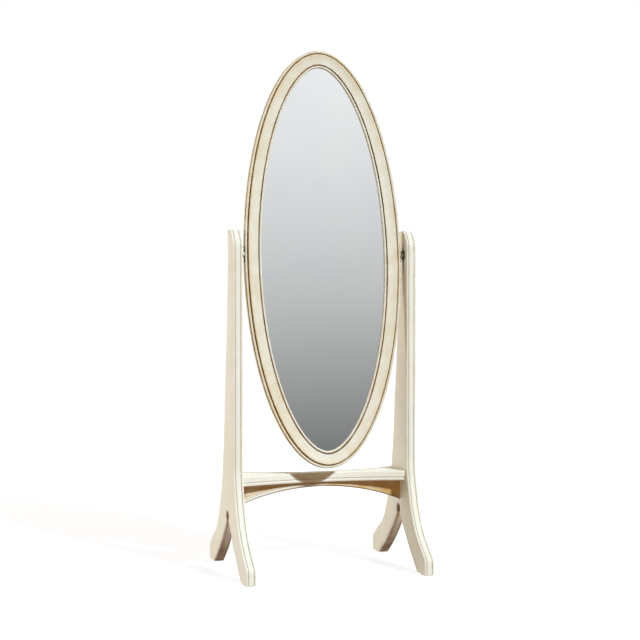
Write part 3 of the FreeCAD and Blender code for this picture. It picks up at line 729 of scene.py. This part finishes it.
def make_shelf():
    low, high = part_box("stretcher_shelf")
    half = high.x
    rows = []
    for x in stations(half, RAIL_STEPS):
        section = []
        front_y = low.y + edge_sag(x, half, WAIST_FRONT * MM)
        rear_y = high.y - edge_sag(x, half, WAIST_REAR * MM)
        front_stretch = bow_slope(x, half, WAIST_FRONT * MM)
        rear_stretch = bow_slope(x, half, WAIST_REAR * MM)
        for up, depth, glaze in SHELF_EDGE:
            y = front_y + depth * MM * front_stretch
            section.append(((x, y, low.z + up * MM), glaze, 0.0))
        inner_front = front_y + SHELF_EDGE[-1][1] * MM * front_stretch
        inner_rear = rear_y - SHELF_EDGE[-1][1] * MM * rear_stretch
        for step in range(1, 8):
            y = inner_front + (inner_rear - inner_front) * step / 8
            section.append(((x, y, low.z), 0.0, UNDERSIDE_SHADE))
        for up, depth, glaze in reversed(SHELF_EDGE):
            y = rear_y - depth * MM * rear_stretch
            section.append(((x, y, low.z + up * MM), glaze, 0.0))
        inner_front = front_y + SHELF_EDGE[0][1] * MM * front_stretch
        inner_rear = rear_y - SHELF_EDGE[0][1] * MM * rear_stretch
        for inset, glaze in REAR_LINE:
            section.append(((x, inner_rear - inset * MM, high.z), glaze, 0.0))
        inner_rear -= REAR_LINE[-1][0] * MM
        for step in range(1, 8):
            y = inner_rear + (inner_front - inner_rear) * step / 8
            section.append(((x, y, high.z), 0.0, 0.0))
        rows.append(section)
    piece = bar("shelf_moulded", rows, rail_paint)
    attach(piece, "stand")
    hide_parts("stretcher_shelf")


# The apron's face from its lower edge up: (height above the edge, depth, glaze).
APRON_FACE = (
    (0, 3.4, 1), (0.25, 2.3, 1), (0.9, 1.2, 1), (1.9, 0.45, 1), (3.0, 0.1, 0.9), (4.2, 0, 0.5),
    (5.2, 0, 0), (7.2, 0, 0), (8.6, 0.1, 0.05), (9.4, 0.45, 0.25), (9.9, 1.1, 0.45),
    (10.4, 1.2, 0.5), (10.9, 0.8, 0.4), (11.6, 0.3, 0.15), (12.6, 0.1, 0),
)


def make_apron():
    low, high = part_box("arched_apron")
    half = high.x
    crown = high.z - APRON_MID_DROP * MM
    rise = crown - low.z
    rows = []
    for x in stations(half, RAIL_STEPS):
        foot = low.z + edge_sag(x, half, rise)
        section = []
        # A light rub plus painted shade that grows towards the apron's right half.
        rub_and_shade = APRON_RUB + APRON_SHADE_RIGHT * smoothstep(APRON_SHADE_FROM, APRON_SHADE_TO, x)
        for up, depth, glaze in APRON_FACE:
            section.append(((x, low.y + depth * MM, foot + up * MM), glaze, rub_and_shade))
        start = foot + APRON_FACE[-1][0] * MM
        # The wash here is a painted shadow, that of the shelf's bowed front edge.
        shade = SHELF_SHADE * MM - edge_sag(x, half, WAIST_FRONT * MM)
        for step in range(1, 9):
            z = start + (high.z - start) * step / 8
            wash_and_shade = 1 - smoothstep(shade * 0.9, shade * 1.1, high.z - z)
            section.append(((x, low.y, z), 0.0, max(wash_and_shade, rub_and_shade)))
        # The back, with its lower arris rounded, and the lower edge.
        for step in range(5):
            z = high.z + (foot + 2 * MM - high.z) * step / 4
            section.append(((x, high.y, z), 0.0, 0.0))
        section.append(((x, high.y - 0.6 * MM, foot + 0.6 * MM), 0.0, 0.0))
        section.append(((x, high.y - 2 * MM, foot), 0.0, 0.3))
        section.append(((x, (low.y + high.y) / 2, foot), 0.0, 0.4))
        rows.append(section)
    piece = bar("apron_moulded", rows, rail_paint)
    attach(piece, "stand")
    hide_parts("arched_apron")


# ---------------------------------------------------------------------------- mirror frame
# Section of the oval moulding: (inwards from the outer edge, forwards of the pivot plane,
# glaze, wash), from the back outer corner round the face to the rabbet.
FRAME_FACE = (
    (1.2, -11, 0, 0.5), (0.35, -10.6, 0, 0.7), (0, -9.8, 0, 0.7), (0, -6, 0, 0.8), (0, -2, 0, 0.9),
    (0, 1.0, 0.1, 1), (0.1, 2.2, 0.5, 1), (0.9, 2.9, 0.9, 1), (0.9, 3.8, 0.9, 1),
    (0.15, 4.5, 0.9, 1), (0, 5.4, 0.9, 1), (0.35, 6.7, 0.75, 0.8), (1.1, 7.7, 0.25, 0.5),
    (2.4, 8.6, 0, 0.25), (4.0, 8.9, 0, 0.2), (5.6, 8.6, 0, 0.3), (6.8, 7.9, 0.05, 0.5),
    (7.8, 6.9, 0.4, 0.8), (8.3, 5.8, 0.9, 1), (8.8, 5.0, 1, 1), (9.5, 4.8, 1, 1), (10.1, 5.3, 1, 1),
    (10.5, 6.9, 1, 1), (10.8, 8.9, 0.7, 1), (11.2, 10.6, 0.3, 1), (11.9, 11.8, 0.05, 0.9),
    (13.0, 12.3, 0, 0.55), (14.4, 12.3, 0, 0.36), (16.5, 11.8, 0, 0.26), (19, 11.2, 0, 0.18),
    (22.5, 10.4, 0, 0.1), (26, 9.7, 0, 0.05), (30, 9.1, 0, 0.03), (34, 8.7, 0, 0), (38, 8.4, 0, 0),
    (41.5, 8.1, 0, 0.05), (42.6, 8.0, 0, 0.15), (43.4, 7.6, 0.4, 0.3), (43.9, 6.2, 1, 0.4),
    (44.5, 5.0, 1, 0.4), (46.2, 4.6, 1, 0.4), (46.9, 5.0, 1, 0.3), (47.3, 5.9, 0.6, 0.1),
    (47.9, 6.8, 0, 0), (48.9, 7.3, 0, 0), (50.1, 7.5, 0, 0), (51.3, 7.3, 0, 0), (52.4, 6.7, 0, 0),
    (53.2, 5.7, 0, 0), (53.7, 4.6, 0, 0), (54, 3.4, 0, 0.1), (54, 2, 0.1, 0.1),
)


FRAME_STEPS = 400


def even_angles(a, b, count):
    """Ellipse parameters that are evenly spaced along its edge, from the top round."""
    fine = 7200
    angles = [math.pi / 2 + math.tau * index / fine for index in range(fine + 1)]
    run = [0.0]
    for first in angles[:-1]:
        mid = first + math.pi / fine
        run.append(run[-1] + math.hypot(a * math.sin(mid), b * math.cos(mid)))
    result, index = [], 0
    for step in range(count):
        target = run[-1] * step / count
        while run[index + 1] <= target:
            index += 1
        share = (target - run[index]) / (run[index + 1] - run[index])
        result.append(angles[index] + share * math.tau / fine)
    return result


def make_frame():
    """The oval moulding: its face keeps its width all round, its rabbet follows the glass."""
    to_space = Matrix.Translation(PIVOT) @ Matrix.Rotation(-REST_TILT, 4, "X")
    a, b = FRAME_HALF_WIDTH * MM, FRAME_HALF_HEIGHT * MM
    inner_a, inner_b = a - RABBET_INSET * MM, b - RABBET_INSET * MM
    rows = []
    for t in even_angles(a, b, FRAME_STEPS):
        edge = Vector((a * math.cos(t), 0, b * math.sin(t)))
        inward = -Vector((math.cos(t) / a, 0, math.sin(t) / b)).normalized()
        section = []
        # Painted shade that darkens the frame towards its foot.
        rub_and_shade = FRAME_FOOT_SHADE * smoothstep(FRAME_SHADE_FROM, FRAME_SHADE_TO, edge.z)
        for inset, forward, glaze, wash_and_shade in FRAME_FACE:
            spot = edge + inward * (inset * MM)
            section.append((spot, -forward, glaze, wash_and_shade + rub_and_shade))
        wall = Vector((inner_a * math.cos(t), 0, inner_b * math.sin(t)))
        section.append((wall, -2, 0.3, 0))
        section.append((wall, FRAME_BACK, 0.0, 0))
        ring = []
        for spot, back, glaze, wash_and_shade in section:
            local = Vector((spot.x, back * MM, spot.z - PIVOT_RISE * MM))
            ring.append((to_space @ local, glaze, wash_and_shade))
        rows.append(ring)
    piece = bar("oval_frame_moulded", rows, frame_paint, closed=True)
    cut_mortises(piece, to_space)
    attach(piece, "mirror")
    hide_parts("oval_frame")


BOX_FACES = (
    (0, 1, 3, 2), (4, 5, 7, 6), (0, 1, 5, 4), (2, 3, 7, 6), (0, 2, 6, 4), (1, 3, 7, 5),
)


def cut_mortises(piece, to_space):
    """Lets the pivot plates into the frame's edge."""
    half_y, half_z = (value * MM for value in MORTISE_HALF)
    for side in (-1, 1):
        near, far = MORTISE_FLOOR * MM * side, (FRAME_HALF_WIDTH + 4) * MM * side
        mesh = bpy.data.meshes.new("mortise")
        work = bmesh.new()
        corners = [
            work.verts.new(to_space @ Vector((x, y, z)))
            for x in (near, far) for y in (-half_y, half_y) for z in (-half_z, half_z)
        ]
        for face in BOX_FACES:
            work.faces.new([corners[index] for index in face])
        bmesh.ops.recalc_face_normals(work, faces=work.faces)
        work.to_mesh(mesh)
        work.free()
        mesh.attributes.new("glaze", "FLOAT", "POINT")
        mesh.attributes.new("wash_and_shade", "FLOAT", "POINT")
        tool = bpy.data.objects.new("mortise", mesh)
        bpy.context.scene.collection.objects.link(tool)
        step = piece.modifiers.new("mortise", "BOOLEAN")
        step.operation = "DIFFERENCE"
        step.solver = "EXACT"
        step.object = tool
        apply_modifiers(piece)
        bpy.data.objects.remove(tool)


def apply_modifiers(piece):
    """Replaces the mesh by what its modifiers make of it."""
    graph = bpy.context.evaluated_depsgraph_get()
    made = bpy.data.meshes.new_from_object(
        piece.evaluated_get(graph), preserve_all_data_layers=True, depsgraph=graph
    )
    piece.modifiers.clear()
    piece.data = made


# --------------------------------------------------------------------------------- studio
FLOOR_REACH = 60.0
FLOOR_GREY = (0.25, 0.25, 0.25, 1)
FLOOR_GLOW = 0.84
# What lights the matt surfaces from above, from below, and from a white wall on the left, with
# the heights or the directions between which one gives way to the next.
FILL_ABOVE = (0.105, 0.044, 0.005, 1)
FILL_BELOW = (0.215, 0.095, 0.01, 1)
FILL_LEFT = (1.35, 1.31, 1.17, 1)
FILL_HEIGHTS = (-0.3, 0.5)
WALL_EDGES = (-0.65, -0.98)
# What the glass sees: (height of the ray, grey).
SEEN_IN_GLASS = ((0.0, 0.06), (0.06, 0.22), (0.14, 0.53), (0.22, 0.77), (0.31, 0.95), (1.0, 1.0))

SUN_FROM = (1.06, -2.18, 1.63)
SUN_POWER = 3.24
SUN_COLOUR = (0.965, 1.085, 1.17)
SUN_SPREAD = math.radians(4)
# Square lamps: (name, size, power, colour, place); both face the middle of the mirror.
LAMPS = (
    ("side", 2.5, 78, (1.0, 1.0, 1.0), (-4.1, 1.1, 1.3)),
    ("back", 3.0, 210, (0.96, 1.0, 1.04), (2.6, 4.4, 2.2)),
)
LAMP_TARGET = (0, 0, 0.8)

CAMERA_PLACE = (-1.355, -4.4826, 0.900)
CAMERA_HEADING = math.radians(16.88)
CAMERA_DIP = math.radians(1.35)
LENS, SENSOR = 82.7, 36


def make_floor():
    """A pale floor that glows a little, as a light table does, so that shadows stay soft."""
    mesh = bpy.data.meshes.new("floor")
    reach = FLOOR_REACH
    corners = [(-reach, -reach, 0), (reach, -reach, 0), (reach, reach, 0), (-reach, reach, 0)]
    mesh.from_pydata(corners, [], [(0, 1, 2, 3)])
    s = Shader("floor_paint")
    mesh.materials.append(s.set(Base_Color=FLOOR_GREY, Roughness=0.9, Specular_IOR_Level=0.0,
                                Emission_Color=(1, 1, 1, 1), Emission_Strength=FLOOR_GLOW))
    floor = bpy.data.objects.new("floor", mesh)
    bpy.context.scene.collection.objects.link(floor)
    floor.visible_diffuse = False


def make_world():
    """White to the camera; the fills to matt surfaces; to the glass, a wall of light that gets
    darker from a little above eye level down."""
    world = bpy.data.worlds.new("studio")
    bpy.context.scene.world = world
    world.use_nodes = True
    tree = world.node_tree
    tree.nodes.clear()

    def node(kind):
        return tree.nodes.new(kind)

    def mix(factor, first, second):
        made = node("ShaderNodeMix")
        made.data_type = "RGBA"
        tree.links.new(factor, made.inputs[0])
        for socket, value in ((made.inputs[6], first), (made.inputs[7], second)):
            if isinstance(value, bpy.types.NodeSocket):
                tree.links.new(value, socket)
            else:
                socket.default_value = value
        return made.outputs[2]

    def share(value, ends, kind):
        made = node("ShaderNodeMapRange")
        made.interpolation_type = kind
        made.inputs["From Min"].default_value, made.inputs["From Max"].default_value = ends
        tree.links.new(value, made.inputs["Value"])
        return made.outputs[0]

    where = node("ShaderNodeTexCoord")
    split = node("ShaderNodeSeparateXYZ")
    tree.links.new(where.outputs["Generated"], split.inputs[0])
    height = split.outputs["Z"]
    ramp = node("ShaderNodeValToRGB")
    ramp.color_ramp.interpolation = "B_SPLINE"
    while len(ramp.color_ramp.elements) < len(SEEN_IN_GLASS):
        ramp.color_ramp.elements.new(0.5)
    for element, (place, grey) in zip(ramp.color_ramp.elements, SEEN_IN_GLASS):
        element.position = place
        element.color = (grey, grey, grey, 1)
    tree.links.new(height, ramp.inputs[0])
    above = share(height, FILL_HEIGHTS, "LINEAR")
    left = share(split.outputs["X"], WALL_EDGES, "SMOOTHSTEP")
    path = node("ShaderNodeLightPath")
    fill = mix(left, mix(above, FILL_BELOW, FILL_ABOVE), FILL_LEFT)
    unseen = mix(path.outputs["Is Glossy Ray"], fill, ramp.outputs[0])
    seen = mix(path.outputs["Is Camera Ray"], unseen, (1, 1, 1, 1))
    shade = node("ShaderNodeBackground")
    tree.links.new(seen, shade.inputs[0])
    out = node("ShaderNodeOutputWorld")
    tree.links.new(shade.outputs[0], out.inputs[0])


def add_lamp(name, kind, power, colour, place, target, **settings):
    """A lamp that looks at its target and isn't seen in the glass."""
    data = bpy.data.lights.new(name, kind)
    data.energy, data.color = power, colour
    for key, value in settings.items():
        setattr(data, key, value)
    lamp = bpy.data.objects.new(name, data)
    bpy.context.scene.collection.objects.link(lamp)
    lamp.location = place
    lamp.rotation_euler = (Vector(target) - Vector(place)).to_track_quat("-Z", "Y").to_euler()
    lamp.visible_glossy = False


def make_lights():
    add_lamp("key", "SUN", SUN_POWER, SUN_COLOUR, SUN_FROM, (0, 0, 0), angle=SUN_SPREAD)
    for name, size, power, colour, place in LAMPS:
        add_lamp(name, "AREA", power, colour, place, LAMP_TARGET,
                 shape="RECTANGLE", size=size, size_y=size)


def make_camera():
    camera = bpy.data.objects.new("camera", bpy.data.cameras.new("camera"))
    bpy.context.scene.collection.objects.link(camera)
    camera.data.sensor_width = SENSOR
    camera.data.lens = LENS
    camera.location = CAMERA_PLACE
    level = math.cos(CAMERA_DIP)
    look = Vector((
        math.sin(CAMERA_HEADING) * level, math.cos(CAMERA_HEADING) * level, -math.sin(CAMERA_DIP),
    ))
    camera.rotation_euler = look.to_track_quat("-Z", "Y").to_euler()
    bpy.context.scene.camera = camera


make_posts()
make_shelf()
make_apron()
make_frame()
finish_cad_nodes()
make_floor()
make_world()
make_lights()
make_camera()
bpy.context.scene.view_settings.view_transform = "Standard"
